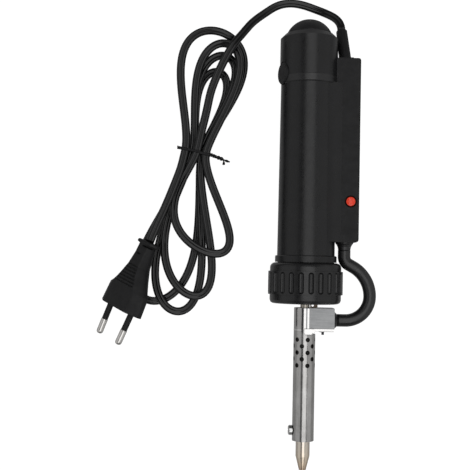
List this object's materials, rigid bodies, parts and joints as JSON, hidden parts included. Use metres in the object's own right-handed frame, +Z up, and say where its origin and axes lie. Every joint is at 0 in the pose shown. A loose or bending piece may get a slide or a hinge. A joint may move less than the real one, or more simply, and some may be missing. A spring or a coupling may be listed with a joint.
{
  "type": "desoldering pump",
  "caption": "Heated desoldering pump: spring plunger in a round barrel, latch button, hot hollow nozzle on a screw collar, side box with lamp, mains lead folded in a hank",
  "frame": {"origin": "centre of the pump's footprint on the bench, measured without the mains lead", "axes": "+Y along the pump from nozzle to knob, +X towards the side housing, +Z up from the bench"},
  "size_m": [0.1616, 0.2742, 0.0431],
  "materials": {
    "shell": "fine-grained black moulding",
    "knob_plastic": "satin black moulding",
    "red_lens": "translucent red",
    "soft_black": "black flexible PVC",
    "tinned_sheet": "bright plated sheet",
    "screw_steel": "nickel-plated",
    "dark_steel": "blackened",
    "nozzle_metal": "plated tip over brass",
    "rod_steel": "ground rod",
    "spring_steel": "spring wire",
    "piston_plastic": "acetal",
    "plug_plastic": "heat-resistant resin",
    "seal_rubber": "nitrile ring",
    "silicone": "silicone ring",
    "ceramic": "wound ceramic heater, stood in by plastic",
    "insulation": "wire insulation",
    "amber_glass": "neon lamp glass"
  },
  "bodies": {
    "barrel_body": {"barrel": "shell", "top_cap": "shell", "side_housing": "shell", "housing_cover": "shell", "indicator_lens": "red_lens", "strain_relief": "soft_black", "lead_grommet": "soft_black", "heater_lead": "soft_black", "mains_cord": "soft_black", "cord_hank": "soft_black", "cord_tail": "soft_black", "twist_tie": "soft_black", "plug_body": "soft_black", "pin_sleeves": "soft_black", "housing_screws": "screw_steel", "plug_pins": "screw_steel", "main_spring": "spring_steel", "latch_spring": "spring_steel", "lamp_resistor": "insulation", "wire_splices": "insulation", "inner_wires": "insulation", "indicator_lamp": "amber_glass"},
    "plunger": {"plunger_knob": "knob_plastic", "plunger_rod": "rod_steel", "piston": "piston_plastic", "piston_ring": "seal_rubber", "piston_screw": "screw_steel"},
    "release": {"release_button": "knob_plastic", "latch_plate": "rod_steel"},
    "front": {"front_plug": "plug_plastic", "front_seal": "silicone", "suction_tube": "rod_steel", "heater_bracket": "tinned_sheet", "bracket_screw": "dark_steel", "heater_shroud": "tinned_sheet", "heater_core": "ceramic", "heater_wires": "insulation", "nozzle": "nozzle_metal", "nozzle_set_screw": "screw_steel", "lead_cuff": "soft_black"},
    "collar": {"collar_nut": "shell"}
  },
  "joints": [
    {"name": "plunger_slide", "type": "slide", "parent": "barrel_body", "child": "plunger", "axis": [0, 0.9994, -0.0351], "range_m": [0, 0.06], "deforming": ["main_spring"]},
    {"name": "button_press", "type": "slide", "parent": "barrel_body", "child": "release", "axis": [0.9397, -0.012, -0.3418], "range_m": [0, 0.0012], "stiffness_N_per_m": 500, "springref_m": -0.001, "deforming": ["latch_spring"]},
    {"name": "front_slide", "type": "slide", "parent": "barrel_body", "child": "front", "axis": [0, -0.9994, 0.0351], "range_m": [0, 0.012], "deforming": ["heater_lead", "main_spring"]},
    {"name": "collar_turn", "type": "hinge", "parent": "front", "child": "collar", "pos_m": [-0.00953, -0.02126, 0.02151], "axis": [0, -0.9994, 0.0351], "range_deg": [0, 1440]}
  ],
  "couplings": [
    {"joint": "collar_turn", "follows": "front_slide", "rad_per_m": 2094.4}
  ]
}
